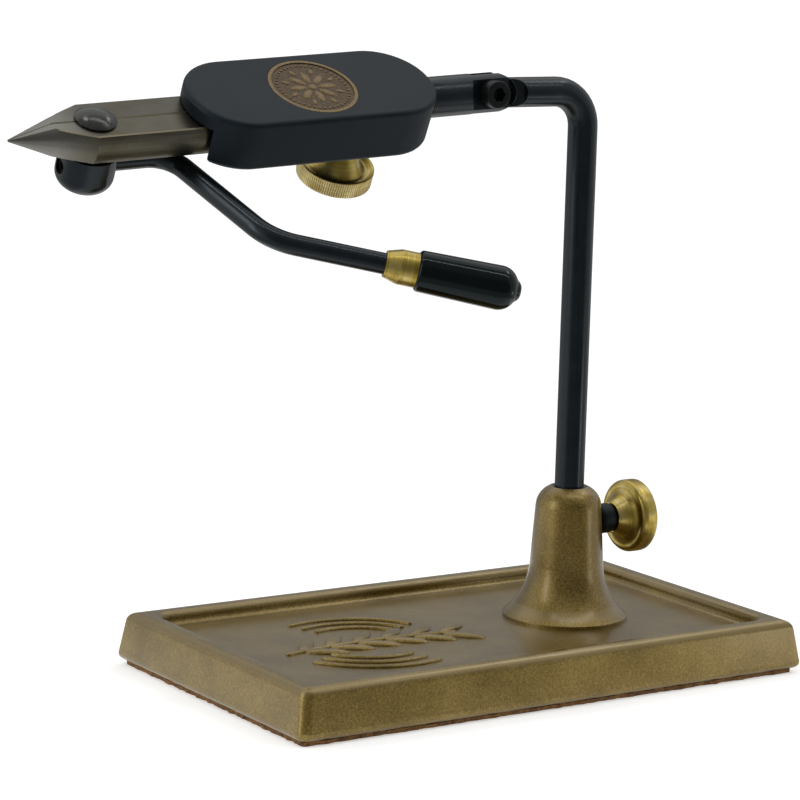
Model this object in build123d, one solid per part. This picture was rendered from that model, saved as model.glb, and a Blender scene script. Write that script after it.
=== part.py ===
from build123d import *
import os
from math import cos, radians, sin, tan

# Fly tying vise on a pocket base, at its real size in millimetres.
# Z is up, X runs along the base towards the stem, and the origin is the centre of the underside.

# Fits shared by all pieces
running_clearance = 0.05  # radial room of a shaft or stud that turns
seat_clearance = 0.02  # radial room of a piece fixed in another
face_gap = 0.1  # between flat faces that move past each other
overrun = 2.0  # how far a cut runs past the face that it opens

# Pose in which the vise stands
stem_yaw = 2.0  # degrees, the arm's turn away from the base's long side
head_tilt = 3.3  # degrees, jaw point below level
head_roll = 29.1  # degrees, top of the head leaning towards the near side

# Base casting and its pad
base_length = 189.0
base_width = 111.7
base_corner_radius = 3.4
base_draft = 8.9  # degrees
base_foot_round = 2.3
pad_thickness = 1.2
pad_inset = 1.9
pad_corner_radius = 1.5
casting_height = 15.9
rim_width = 6.6
rim_round = 3.3
rim_inner_round = 2.2
pocket_depth = 4.3
pocket_corner_radius = 4.5
pocket_floor_round = 1.9

# Bell that holds the stem
stem_place = 40.7
bell_top = 55.9
bell_flange_radius = 20.4
bell_lip = 1.0
bell_waist_radius = 12.0
bell_waist_height = 30.0
bell_neck_radius = 10.7
bell_neck_height = 49.6
bell_mouth_radius = 6.2
socket_floor = 5.0

# Stem, bent from round bar, with a tongue at its end
stem_diameter = 9.525
stem_foot = 14.0
stem_bend_radius = 11.3
run_height = 183.7
pivot_reach = 38.0
tongue_thickness = 4.0
tongue_length = 14.0
tongue_runout_radius = 5.0
stem_bush_wall = 1.0

# Lock knobs, alike on stem and head
knob_radius = 11.9
knob_thickness = 5.5
knob_edge = 0.5
knob_boss_radius = 4.9
knob_boss_root_radius = 7.0
knob_boss_length = 3.9
knob_flare_radius = 11.0
knob_flare_rise = 1.2
knob_stud_depth = 6.5
lock_stud_diameter = 6.0
lock_shoe_length = 2.2
stem_lock_height = 43.8
stem_lock_seat = 11.0  # from the stem's axis to the flat on the bell
stem_lock_spot_room = 1.0
stem_collar_length = 6.3
rotary_collar_length = 7.4

# Tilt joint
tilt_screw_diameter = 5.0
tilt_head_diameter = 8.5
tilt_head_height = 4.7
tilt_head_round = 0.5
tilt_socket_width = 4.0
tilt_socket_depth = 2.6
tilt_nut_width = 8.0
tilt_nut_height = 4.0
tilt_screw_tail = 0.8
tilt_spot_radius = 8.0
ear_thickness = 2.25

# Arm
arm_diameter = 12.7
ear_overhang = 2.0
fork_floor_room = 1.0
arm_shoulder_gap = 0.3
journal_diameter = 10.0
journal_length = 34.0
groove_depth = 0.8
groove_side_room = 0.15
arm_bush_wall = 1.3
arm_bush_length = 22.0

# Head housing, measured from the tilt screw along the arm
housing_rear = 21.9
housing_length = 82.9
housing_width = 35.0
housing_top = 7.8
housing_bottom = 8.9
housing_corner_radius = 17.0
housing_top_round = 1.5
housing_bottom_round = 2.2
badge_place = 63.2
badge_radius = 13.9
badge_thickness = 0.8
badge_rim_width = 1.1
badge_field_depth = 0.25
badge_edge_gap = 0.15
rotary_lock_place = 47.3
arm_bore_room = 1.5

# Jaws, two halves of a round bar with flats above and below
jaw_bar_radius = 9.75
jaw_axis_drop = 2.55
jaw_half_height = 4.8
jaw_rear = 63.2
jaw_cone_start = 137.0
jaw_tip = 161.1
jaw_tip_radius = 0.35
jaw_nose_length = 13.1
jaw_nose_tip_height = 0.25
jaw_parting = 0.2
jaw_pivot_place = 69.0
jaw_pivot_spread = 5.0
jaw_pin_diameter = 4.0
jaw_pin_roof_depth = 2.4
jaw_heel_relief = 0.4
jaw_heel_length = 8.0
channel_side_room = 1.3
channel_top_room = 0.5
channel_end_room = 0.7

# Cover under the jaw channel
cover_thickness = 1.2
cover_front_inset = 14.3
cover_ledge = 4.0
cover_edge_gap = 0.1
cover_screw_diameter = 2.0
cover_screw_head_diameter = 3.4
cover_screw_head_height = 0.8
cover_screw_length = 5.0
cover_screw_inset = 2.2

# Closing springs of the jaws
spring_place_share = 0.42  # of the way from the jaw pivots to the housing's front
spring_radius = 1.9
spring_wire_diameter = 0.7
spring_turns = 5
spring_pocket_radius = 2.7
spring_jaw_pocket_depth = 2.6
spring_wall_pocket_depth = 3.8

# Cam pin with its button
cam_pin_place = 134.3
cam_pin_diameter = 8.0
cam_width = 4.0
cam_side_room = 0.15
cam_end_room = 0.4
button_radius = 6.35
button_edge = 0.5
button_dome_height = 2.4

# Lever and its hub
hub_radius = 8.85
hub_height = 12.7
hub_round = 5.0
hub_washer_radius = 7.2
hub_washer_thickness = 0.6
pin_depth_in_hub = 10.6
set_screw_diameter = 5.0
set_screw_length = 3.6
set_screw_socket_width = 2.5
set_screw_socket_depth = 1.6
lever_drop = 12.9
lever_diameter = 6.35
lever_first_run = 26.7
lever_second_run = 46.8
lever_third_run = 73.0
lever_out_angle = 74.5  # degrees from the arm's line
lever_grip_angle = 29.6  # degrees from the arm's line
lever_first_bend_radius = 10.0
lever_second_bend_radius = 18.0
ferrule_place = 33.6  # from the second bend's corner
ferrule_length = 9.5
ferrule_cone_length = 4.3
ferrule_small_radius = 3.95
ferrule_radius = 5.2
grip_length = 30.2
grip_radius = 6.35
grip_front_round = 1.2
grip_end_round = 5.2
grip_nub_radius = 2.2
grip_nub_length = 1.0
grip_nub_round = 0.8

# Sizes that follow from the ones above
stem_radius = stem_diameter / 2
arm_radius = arm_diameter / 2
journal_radius = journal_diameter / 2
lock_stud_radius = lock_stud_diameter / 2
lever_radius = lever_diameter / 2
cam_pin_radius = cam_pin_diameter / 2
jaw_pin_radius = jaw_pin_diameter / 2
casting_top = pad_thickness + casting_height
pocket_floor = casting_top - pocket_depth
stem_bush_inner = stem_radius + running_clearance
stem_bush_outer = stem_bush_inner + stem_bush_wall
tongue_half = tongue_thickness / 2
slot_half = tongue_half + running_clearance
ear_face = slot_half + ear_thickness
arm_bush_inner = journal_radius + running_clearance
arm_bush_outer = arm_bush_inner + arm_bush_wall
arm_bore_radius = arm_bush_outer + seat_clearance
journal_end = housing_rear + journal_length
housing_front = housing_rear + housing_length
jaw_top = jaw_half_height - jaw_axis_drop
jaw_bottom = -jaw_half_height - jaw_axis_drop
channel_half = jaw_bar_radius + channel_side_room
channel_roof = jaw_top + channel_top_room
channel_end = jaw_rear - channel_end_room
cover_start = channel_end - cover_ledge
cover_end = housing_front - cover_front_inset
cover_half = channel_half + cover_ledge
spring_place = jaw_pivot_place + spring_place_share * (housing_front - jaw_pivot_place)
button_seat = jaw_top + face_gap
hub_washer_top = jaw_bottom - face_gap
hub_top = hub_washer_top - hub_washer_thickness
stud_bore_radius = lock_stud_radius + running_clearance
big = base_length  # larger than any piece that a half-space cut meets

# Frames: the stem's, the arm's and the head's
stem_frame = Pos(stem_place, 0, 0) * Rot(0, 0, 180 - stem_yaw)
arm_frame = stem_frame * Pos(pivot_reach, 0, run_height) * Rot(0, head_tilt, 0)
head_frame = arm_frame * Rot(-head_roll, 0, 0)


def save(shape, name):
    shape.label = name
    export_step(shape, os.path.join("parts", name + ".step"))


def block(x0, x1, y0, y1, z0, z1):
    middle = Pos((x0 + x1) / 2, (y0 + y1) / 2, (z0 + z1) / 2)
    return middle * Box(x1 - x0, y1 - y0, z1 - z0)


def upright(radius, z0, z1, x=0, y=0):
    return Pos(x, y, (z0 + z1) / 2) * Cylinder(radius, z1 - z0)


def lengthwise(radius, x0, x1, y=0, z=0):
    return Pos((x0 + x1) / 2, y, z) * Rot(0, 90, 0) * Cylinder(radius, x1 - x0)


def crosswise(radius, y0, y1, x=0, z=0):
    return Pos(x, (y0 + y1) / 2, z) * Rot(90, 0, 0) * Cylinder(radius, y1 - y0)


def turned(points):
    # Solid of revolution about Z from (radius, height) corners
    return revolve(Plane.XZ * make_face(Polyline(*points, close=True)), Axis.Z)


def round_slab(length, width, corner, z0, z1, taper=0):
    return Pos(0, 0, z0) * extrude(RectangleRounded(length, width, corner), z1 - z0, taper=taper)


def hexagon(width, z0, z1):
    return Pos(0, 0, z0) * extrude(RegularPolygon(width / 2, 6, major_radius=False), z1 - z0)


# Base: pad, casting with pocket and bell, sleeve

def bench_pad():
    length = base_length - 2 * pad_inset
    width = base_width - 2 * pad_inset
    return round_slab(length, width, pad_corner_radius, 0, pad_thickness)


def bell_solid():
    corner_low = (bell_flange_radius, pocket_floor - overrun)
    corner_high = (bell_flange_radius, pocket_floor + bell_lip)
    waist = (bell_waist_radius, bell_waist_height)
    neck = (bell_neck_radius, bell_neck_height)
    mouth = (bell_mouth_radius, bell_top)
    wall = (bell_neck_radius - bell_waist_radius, bell_neck_height - bell_waist_height)
    down = (-wall[0], -wall[1])
    outline = [
        Line((0, corner_low[1]), corner_low),
        Line(corner_low, corner_high),
        TangentArc(waist, corner_high, tangent=down),
        Line(waist, neck),
        TangentArc(neck, mouth, tangent=wall),
        Line(mouth, (0, bell_top)),
        Line((0, bell_top), (0, corner_low[1])),
    ]
    return revolve(Plane.XZ * make_face(outline), Axis.Z)


def base_casting():
    body = Pos(0, 0, pad_thickness) * extrude(Rectangle(base_length, base_width), casting_height, taper=base_draft)
    body = fillet(body.edges().group_by(Axis.Z)[1], base_corner_radius)
    body = fillet(body.edges().group_by(Axis.Z)[0], base_foot_round)
    body = fillet(body.edges().group_by(Axis.Z)[-1], rim_round)
    draft_in = casting_height * tan(radians(base_draft))
    pocket_inset = 2 * (draft_in + rim_width)
    pocket = round_slab(
        base_length - pocket_inset,
        base_width - pocket_inset,
        pocket_corner_radius,
        pocket_floor,
        casting_top + overrun,
    )
    pocket = fillet(pocket.edges().group_by(Axis.Z)[0], pocket_floor_round)
    body -= pocket
    rim = body.faces().filter_by(Axis.Z).sort_by(Axis.Z)[-1]
    body = fillet(rim.inner_wires()[0].edges(), rim_inner_round)
    body += Pos(stem_place, 0, 0) * bell_solid()
    body -= upright(stem_bush_outer + running_clearance, socket_floor, bell_top + overrun, stem_place)
    seat = stem_place + stem_lock_seat
    body -= lengthwise(stud_bore_radius, stem_place, seat, z=stem_lock_height)
    spot = lengthwise(knob_boss_radius + stem_lock_spot_room, seat, seat + big, z=stem_lock_height)
    return body - spot


def stem_bush():
    sleeve = upright(stem_bush_outer, socket_floor, bell_top) - upright(stem_bush_inner, 0, bell_top + overrun)
    return stem_frame * sleeve


# Stem: bent rod whose run ends in a flat tongue, rounded about the tilt screw

def tongue_side_cut():
    start = pivot_reach - tongue_length
    stop = pivot_reach + stem_radius + overrun
    far = stem_diameter + tongue_runout_radius
    plan = Pos((start + stop) / 2, (tongue_half + far) / 2) * Rectangle(stop - start, far - tongue_half)
    inner_corner = plan.vertices().sort_by(Axis.X)[:2].sort_by(Axis.Y)[0]
    plan = fillet(inner_corner, tongue_runout_radius)
    return Pos(0, 0, run_height - far) * extrude(plan, 2 * far)


def rounded_end(pivot, radius, depth, side):
    # What is cut off a bar's end beyond a rounding about the cross axis
    edge = sorted((pivot, pivot + side * (radius + overrun)))
    return block(edge[0], edge[1], -depth, depth, -depth, depth) - crosswise(radius, -depth, depth, pivot)


def stem():
    path = FilletPolyline(
        (0, 0, stem_foot),
        (0, 0, run_height),
        (pivot_reach + stem_radius, 0, run_height),
        radius=stem_bend_radius,
    )
    rod = sweep(Pos(0, 0, stem_foot) * Circle(stem_radius), path=path)
    side_cut = tongue_side_cut()
    rod -= side_cut
    rod -= mirror(side_cut, about=Plane.XZ)
    level = Pos(0, 0, run_height)
    rod -= level * rounded_end(pivot_reach, stem_radius, stem_diameter, 1)
    rod -= level * crosswise(tilt_screw_diameter / 2 + running_clearance, -big, big, pivot_reach)
    return stem_frame * rod


# Lock knobs: disc whose inner face runs in a hollow curve into a cone boss, with a stud hole, along Z

def knob():
    lip = knob_boss_length + knob_flare_rise
    top = lip + knob_thickness
    bore = lock_stud_radius + seat_clearance
    root = (knob_boss_root_radius, knob_boss_length)
    cone = (knob_boss_root_radius - knob_boss_radius, knob_boss_length)
    rim = Polyline(
        (knob_flare_radius, lip),
        (knob_radius - knob_edge, lip),
        (knob_radius, lip + knob_edge),
        (knob_radius, top - knob_edge),
        (knob_radius - knob_edge, top),
        (0, top),
        (0, knob_stud_depth),
        (bore, knob_stud_depth),
        (bore, 0),
        (knob_boss_radius, 0),
        root,
    )
    flare = TangentArc(root, (knob_flare_radius, lip), tangent=cone)
    return revolve(Plane.XZ * make_face(rim.edges() + flare.edges()), Axis.Z)


def lock_set(collar_start, collar_length, shoe_start, names, place):
    # Shoe, stud, collar and knob in a row along Z, which points out of the seat
    collar_end = collar_start + collar_length
    shoe_end = shoe_start + lock_shoe_length
    pieces = [
        Pos(0, 0, collar_end) * knob(),
        upright(lock_stud_radius, shoe_end, collar_end + knob_stud_depth),
        upright(knob_boss_radius, collar_start, collar_end)
        - upright(lock_stud_radius + seat_clearance, collar_start - overrun, collar_end + overrun),
        upright(lock_stud_radius, shoe_start, shoe_end),
    ]
    for piece, name in zip(pieces, names):
        save(place * piece, name)


def save_stem_lock():
    place = Pos(stem_place, 0, stem_lock_height) * Rot(0, 90, 0)
    names = ["stem_lock_knob", "stem_lock_stud", "stem_lock_collar", "stem_lock_shoe"]
    lock_set(stem_lock_seat, stem_collar_length, stem_bush_outer + face_gap, names, place)


def save_rotary_lock():
    place = head_frame * Pos(rotary_lock_place, 0, 0) * Rot(180, 0, 0)
    names = ["rotary_lock_knob", "rotary_lock_stud", "rotary_lock_collar", "rotary_lock_shoe"]
    groove_radius = journal_radius - groove_depth
    lock_set(housing_bottom + face_gap, rotary_collar_length, groove_radius + face_gap, names, place)


# Arm: forked round bar with a journal that the head turns on

def head_arm():
    shoulder = housing_rear - arm_shoulder_gap
    bar = lengthwise(arm_radius, -ear_overhang - arm_radius, shoulder)
    bar += lengthwise(journal_radius, shoulder, journal_end)
    bar -= rounded_end(-ear_overhang, arm_radius, arm_diameter, -1)
    slot_end = stem_radius + fork_floor_room
    bar -= block(-ear_overhang - arm_diameter, slot_end, -slot_half, slot_half, -arm_diameter, arm_diameter)
    bar -= crosswise(tilt_screw_diameter / 2 + running_clearance, -arm_diameter, arm_diameter)
    bar -= crosswise(tilt_spot_radius, ear_face, arm_diameter)
    bar -= crosswise(tilt_spot_radius, -arm_diameter, -ear_face)
    groove_half = lock_stud_radius + groove_side_room
    groove = lengthwise(arm_radius, rotary_lock_place - groove_half, rotary_lock_place + groove_half)
    groove -= lengthwise(journal_radius - groove_depth, 0, big)
    return arm_frame * (bar - groove)


def tilt_screw():
    # Along Z, with the underside of its head at zero
    tail = 2 * ear_face + tilt_nut_height + tilt_screw_tail
    screw = upright(tilt_screw_diameter / 2, -tail, 0)
    head = upright(tilt_head_diameter / 2, 0, tilt_head_height)
    head = fillet(head.edges().group_by(Axis.Z)[-1], tilt_head_round)
    socket = hexagon(tilt_socket_width, tilt_head_height - tilt_socket_depth, tilt_head_height + overrun)
    return arm_frame * Rot(-90, 0, 0) * Pos(0, 0, ear_face) * (screw + head - socket)


def tilt_nut():
    nut = hexagon(tilt_nut_width, -ear_face - tilt_nut_height, -ear_face)
    nut -= upright(tilt_screw_diameter / 2 + seat_clearance, -big, big)
    return arm_frame * Rot(-90, 0, 0) * nut


# Head housing: block with rounded ends, arm bore, jaw channel and the recesses of its fittings

def cover_screw_places():
    first = cover_start + cover_screw_inset
    last = cover_end - cover_screw_inset
    side = channel_half + cover_ledge / 2
    return [(x, y) for x in (first, last) for y in (-side, side)]


def head_housing():
    middle = (housing_rear + housing_front) / 2
    body = Pos(middle, 0, 0) * round_slab(
        housing_length, housing_width, housing_corner_radius, -housing_bottom, housing_top
    )
    body = fillet(body.edges().group_by(Axis.Z)[-1], housing_top_round)
    body = fillet(body.edges().group_by(Axis.Z)[0], housing_bottom_round)
    body -= lengthwise(arm_bore_radius, housing_rear - overrun, journal_end + arm_bore_room)
    low = -housing_bottom - overrun
    front = housing_front + overrun
    body -= block(channel_end, front, -channel_half, channel_half, low, channel_roof)
    room = cover_edge_gap
    cover_top = cover_thickness - housing_bottom
    body -= block(cover_start - room, cover_end + room, -cover_half - room, cover_half + room, low, cover_top)
    body -= upright(badge_radius + badge_edge_gap, housing_top - badge_thickness, big, badge_place)
    body -= upright(stud_bore_radius, low, 0, rotary_lock_place)
    for side in (-1, 1):
        body -= upright(
            jaw_pin_radius + seat_clearance,
            channel_roof - overrun,
            channel_roof + jaw_pin_roof_depth,
            jaw_pivot_place,
            side * jaw_pivot_spread,
        )
        reach = sorted((side * (channel_half - overrun), side * (channel_half + spring_wall_pocket_depth)))
        body -= crosswise(spring_pocket_radius, reach[0], reach[1], spring_place, -jaw_axis_drop)
    screw_hole = cover_screw_diameter / 2 + seat_clearance
    for x, y in cover_screw_places():
        body -= upright(screw_hole, low, cover_screw_length - housing_bottom, x, y)
    return head_frame * body


def badge():
    plate = upright(badge_radius, housing_top - badge_thickness, housing_top, badge_place)
    field = badge_radius - badge_rim_width
    plate -= upright(field, housing_top - badge_field_depth, housing_top + overrun, badge_place)
    return head_frame * plate


def arm_bush():
    stop = housing_rear + arm_bush_length
    sleeve = lengthwise(arm_bush_outer, housing_rear, stop)
    sleeve -= lengthwise(arm_bush_inner, housing_rear - overrun, stop + overrun)
    return head_frame * sleeve


def channel_cover():
    top = cover_thickness - housing_bottom
    plate = block(cover_start, cover_end, -cover_half, cover_half, -housing_bottom, top)
    for x, y in cover_screw_places():
        plate -= upright(cover_screw_diameter / 2 + seat_clearance, -big, big, x, y)
        head_room = cover_screw_head_diameter / 2 + seat_clearance
        plate -= upright(head_room, -big, cover_screw_head_height - housing_bottom, x, y)
    for side in (-1, 1):
        hole = jaw_pin_radius + seat_clearance
        plate -= upright(hole, -big, big, jaw_pivot_place, side * jaw_pivot_spread)
    return head_frame * plate


def cover_screws():
    group = []
    for x, y in cover_screw_places():
        shank = upright(cover_screw_diameter / 2, -housing_bottom, cover_screw_length - housing_bottom, x, y)
        head_top = cover_screw_head_height - housing_bottom
        head = upright(cover_screw_head_diameter / 2, -housing_bottom, head_top, x, y)
        group.append(head_frame * (shank + head))
    return Compound(children=group)


def jaw_pivot_pins():
    top = channel_roof + jaw_pin_roof_depth
    pins = []
    for side in (-1, 1):
        pin = upright(jaw_pin_radius, -housing_bottom, top, jaw_pivot_place, side * jaw_pivot_spread)
        pins.append(head_frame * pin)
    return Compound(children=pins)


# Jaws: halves of a turned bar with a cone point, notched for the cam pin

def nose_cut():
    # What is ground off above the flat that slopes down to the point
    point_height = jaw_nose_tip_height - jaw_axis_drop
    fall = overrun * (jaw_top - point_height) / jaw_nose_length
    wedge = Polyline(
        (jaw_tip - jaw_nose_length - overrun, jaw_top + fall),
        (jaw_tip + overrun, point_height - fall),
        (jaw_tip + overrun, jaw_top + fall),
        close=True,
    )
    return extrude(Plane.XZ * make_face(wedge), jaw_bar_radius, both=True)


def near_jaw_solid():
    outline = Polyline(
        (jaw_rear, 0),
        (jaw_rear, jaw_bar_radius),
        (jaw_cone_start, jaw_bar_radius),
        (jaw_tip, jaw_tip_radius),
        (jaw_tip, 0),
        close=True,
    )
    bar = Pos(0, 0, -jaw_axis_drop) * revolve(make_face(outline), Axis.X)
    bar = bar & block(0, big, jaw_parting / 2, big, jaw_bottom, jaw_top)
    bar -= nose_cut()
    cam_half = cam_pin_radius + cam_end_room
    bar -= block(cam_pin_place - cam_half, cam_pin_place + cam_half, 0, cam_width / 2 + cam_side_room, -big, big)
    bar -= block(0, jaw_pivot_place + jaw_heel_length, 0, jaw_heel_relief, -big, big)
    bar -= upright(jaw_pin_radius + running_clearance, -big, big, jaw_pivot_place, jaw_pivot_spread)
    pocket_floor_at = jaw_bar_radius - spring_jaw_pocket_depth
    bar -= crosswise(spring_pocket_radius, pocket_floor_at, big, spring_place, -jaw_axis_drop)
    return bar


def jaw_spring():
    # Coil along Y between the pockets of jaw and housing
    wire = spring_wire_diameter / 2
    start = jaw_bar_radius - spring_jaw_pocket_depth + wire + seat_clearance
    stop = channel_half + spring_wall_pocket_depth - wire - seat_clearance
    coil = Helix((stop - start) / spring_turns, stop - start, spring_radius)
    tube = sweep(Plane(coil @ 0, z_dir=coil % 0) * Circle(wire), path=coil, is_frenet=True)
    return Pos(spring_place, start, -jaw_axis_drop) * Rot(-90, 0, 0) * tube


# Lever: cam pin, hub, bent rod, ferrule and grip

def cam_pin():
    foot = hub_top - pin_depth_in_hub
    pin = upright(cam_pin_radius, foot, button_seat)
    for side in (-1, 1):
        edge = sorted((side * cam_width / 2, side * cam_pin_diameter))
        pin -= block(-cam_pin_diameter, cam_pin_diameter, edge[0], edge[1], hub_washer_top, button_seat)
    rim = button_seat + button_edge
    button = upright(button_radius, button_seat, rim)
    dome_radius = (button_radius ** 2 + button_dome_height ** 2) / (2 * button_dome_height)
    dome = Pos(0, 0, rim + button_dome_height - dome_radius) * Sphere(dome_radius)
    button += dome & block(-big, big, -big, big, rim, big)
    return head_frame * Pos(cam_pin_place, 0, 0) * (pin + button)


def hub_washer():
    ring = upright(hub_washer_radius, hub_top, hub_washer_top)
    ring -= upright(cam_pin_radius + seat_clearance, -big, big)
    return head_frame * Pos(cam_pin_place, 0, 0) * ring


def lever_hub():
    hub = upright(hub_radius, hub_top - hub_height, hub_top)
    hub = fillet(hub.edges().group_by(Axis.Z)[0], hub_round)
    hub -= upright(cam_pin_radius + seat_clearance, hub_top - pin_depth_in_hub - face_gap, hub_top + overrun)
    hub -= lengthwise(lever_radius + seat_clearance, -hub_radius - overrun, 0, z=-lever_drop)
    hub -= lengthwise(set_screw_diameter / 2 + seat_clearance, 0, hub_radius + overrun, z=-lever_drop)
    return head_frame * Pos(cam_pin_place, 0, 0) * hub


def hub_set_screw():
    screw = upright(set_screw_diameter / 2, 0, set_screw_length)
    socket_floor_at = set_screw_length - set_screw_socket_depth
    screw -= hexagon(set_screw_socket_width, socket_floor_at, set_screw_length + overrun)
    start = cam_pin_place + cam_pin_radius + seat_clearance
    return head_frame * Pos(start, 0, -lever_drop) * Rot(0, 90, 0) * screw


def lever_point(run, angle, origin):
    turn = radians(angle)
    return (origin[0] - run * cos(turn), origin[1] + run * sin(turn))


first_corner = (cam_pin_place - lever_first_run, 0)
second_corner = lever_point(lever_second_run, lever_out_angle, first_corner)


def along_grip(distance):
    x, y = lever_point(distance, lever_grip_angle, second_corner)
    out = radians(lever_grip_angle)
    return Plane(origin=(x, y, -lever_drop), x_dir=(0, 0, 1), z_dir=(-cos(out), sin(out), 0))


def lever_rod():
    end = lever_point(lever_third_run - grip_end_round, lever_grip_angle, second_corner)
    start = cam_pin_place - cam_pin_radius - seat_clearance
    path = FilletPolyline(
        (start, 0, -lever_drop),
        (first_corner[0], first_corner[1], -lever_drop),
        (second_corner[0], second_corner[1], -lever_drop),
        (end[0], end[1], -lever_drop),
        radius=(lever_first_bend_radius, lever_second_bend_radius),
    )
    section = Plane(path @ 0, z_dir=path % 0) * Circle(lever_radius)
    return head_frame * sweep(section, path=path)


def lever_ferrule():
    bore = lever_radius + seat_clearance
    sleeve = turned([
        (bore, 0),
        (ferrule_small_radius, 0),
        (ferrule_radius, ferrule_cone_length),
        (ferrule_radius, ferrule_length),
        (bore, ferrule_length),
    ])
    return head_frame * (along_grip(ferrule_place).location * sleeve)


def lever_grip():
    start = ferrule_place + ferrule_length
    rod_end = lever_third_run - grip_end_round - start
    cap = upright(grip_radius, 0, grip_length)
    cap = fillet(cap.edges().group_by(Axis.Z)[0], grip_front_round)
    cap = fillet(cap.edges().group_by(Axis.Z)[-1], grip_end_round)
    nub = upright(grip_nub_radius, 0, grip_length + grip_nub_length)
    nub = fillet(nub.edges().group_by(Axis.Z)[-1], grip_nub_round)
    cap += nub
    cap -= upright(lever_radius + seat_clearance, -overrun, rod_end + face_gap)
    return head_frame * (along_grip(start).location * cap)


os.makedirs("parts", exist_ok=True)

save(bench_pad(), "bench_pad")
save(base_casting(), "base_casting")
save(stem_bush(), "stem_bush")
save(stem(), "stem")
save_stem_lock()

save(head_arm(), "head_arm")
save(tilt_screw(), "tilt_screw")
save(tilt_nut(), "tilt_nut")

save(head_housing(), "head_housing")
save(badge(), "badge")
save(arm_bush(), "arm_bush")
save(channel_cover(), "channel_cover")
save(cover_screws(), "cover_screws")
save(jaw_pivot_pins(), "jaw_pivot_pins")
save_rotary_lock()

jaw = near_jaw_solid()
spring = jaw_spring()
save(head_frame * jaw, "near_jaw")
save(head_frame * mirror(jaw, about=Plane.XZ), "far_jaw")
save(head_frame * spring, "near_jaw_spring")
save(head_frame * mirror(spring, about=Plane.XZ), "far_jaw_spring")

save(cam_pin(), "cam_pin")
save(hub_washer(), "hub_washer")
save(lever_hub(), "lever_hub")
save(hub_set_screw(), "hub_set_screw")
save(lever_rod(), "lever_rod")
save(lever_ferrule(), "lever_ferrule")
save(lever_grip(), "lever_grip")
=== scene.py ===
import math
import bpy
import bmesh
from mathutils import Euler, Matrix, Vector, noise


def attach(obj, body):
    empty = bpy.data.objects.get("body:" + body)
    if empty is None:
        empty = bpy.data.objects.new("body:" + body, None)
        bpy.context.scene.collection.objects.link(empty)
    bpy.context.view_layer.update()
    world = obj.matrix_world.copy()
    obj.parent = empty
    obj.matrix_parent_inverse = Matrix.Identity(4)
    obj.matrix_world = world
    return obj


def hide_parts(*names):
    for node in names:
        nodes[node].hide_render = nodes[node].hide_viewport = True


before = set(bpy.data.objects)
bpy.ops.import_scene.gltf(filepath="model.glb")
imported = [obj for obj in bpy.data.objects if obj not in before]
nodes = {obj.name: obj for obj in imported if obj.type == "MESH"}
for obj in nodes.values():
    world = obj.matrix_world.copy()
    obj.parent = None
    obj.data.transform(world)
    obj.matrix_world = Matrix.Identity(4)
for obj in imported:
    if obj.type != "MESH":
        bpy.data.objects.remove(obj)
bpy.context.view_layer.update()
mm = 0.001
print("frame loaded,", len(nodes), "nodes")

# the head's own axes start at the tilt screw: X along the arm to the jaws, Z out of the housing's top
headPlace = {"pivot": (2.7231, 1.3262, 183.7), "turn": (-29.1, 3.3, 178.0)}  # mm and degrees
headTurn = Euler([math.radians(t) for t in headPlace["turn"]])
headPivot = Vector(headPlace["pivot"]) * mm
headMatrix = Matrix.Translation(headPivot) @ headTurn.to_matrix().to_4x4()

# places that materials and pieces share, in mm and degrees
stemLock = {"stemAxis": 40.7, "collarStart": 51.7, "knobStart": 58.0, "height": 43.8}
rotaryLock = {"along": 47.3, "knobStart": -16.4}  # in the head's own axes
leverPlace = {"lean": 60.4, "ferrule": (65.704, 61.793, -12.9), "grip": (57.618, 66.387, -12.9)}  # there too


def linear(hexText):
    parts = [int(hexText[i:i + 2], 16) / 255 for i in (1, 3, 5)]
    return tuple(p / 12.92 if p <= 0.04045 else ((p + 0.055) / 1.055) ** 2.4 for p in parts) + (1.0,)


def grey(value):
    return (value, value, value, 1.0)


def addNode(mat, kind, settings=None, links=None):
    node = mat.node_tree.nodes.new("ShaderNode" + kind)
    for key, value in (settings or {}).items():
        if isinstance(key, str) and hasattr(node, key):
            setattr(node, key, value)
        else:
            node.inputs[key].default_value = value
    for key, source in (links or {}).items():
        mat.node_tree.links.new(source, node.inputs[key])
    return node


def startMaterial(name, **shaderSettings):
    mat = bpy.data.materials.new(name)
    mat.use_nodes = True
    mat.node_tree.nodes.clear()
    shader = addNode(mat, "BsdfPrincipled", shaderSettings)
    addNode(mat, "OutputMaterial", links={"Surface": shader.outputs[0]})
    place = addNode(mat, "TexCoord").outputs["Object"]
    return mat, shader, place


def join(mat, source, shader, socket):
    mat.node_tree.links.new(source, shader.inputs[socket])


def stops(ramp, *pairs):  # colours of a ramp, each with its place
    while len(ramp.color_ramp.elements) < len(pairs):
        ramp.color_ramp.elements.new(0.5)
    for element, (at, colour) in zip(ramp.color_ramp.elements, pairs):
        element.position = at
        element.color = colour
    return ramp


# head pieces take their grain along the arm, so their patterns read the head's own axes
def headAxes(mat, place, scale=(1, 1, 1)):
    settings = {"vector_type": "TEXTURE", "Location": headPivot, "Rotation": headTurn}
    settings["Scale"] = [1 / s for s in scale]
    return addNode(mat, "Mapping", settings, {"Vector": place}).outputs[0]


# bronze paint on cast iron under clear lacquer: metal flake, faint orange peel, lighter on the rim's rolled
# edges as rubbed wear and painted highlight
bronzePaint = {
    # the rubbed colour is rubbed wear and painted highlight on the rim's rolled edges
    "light": "#8d773c", "mid": "#766121", "dark": "#5d4a11", "rubbedAndHighlit": "#7e6d43",
    "metal": 0.9, "lacquer": 1.0, "lacquerRough": 0.24, "lacquerIor": 1.41, "smooth": 0.34, "rough": 0.5,
    "flake": 0.6, "peel": 1.3, "cloud": 18.0,  # pattern sizes in mm
    "cloudShare": 0.6, "flakeShare": 0.3, "relief": 0.3, "reliefDepth": 0.12,
    "rimLow": 14.6, "rimHigh": 15.4, "rimEnd": 17.3, "rimFade": 0.7,  # heights in mm
}


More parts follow.
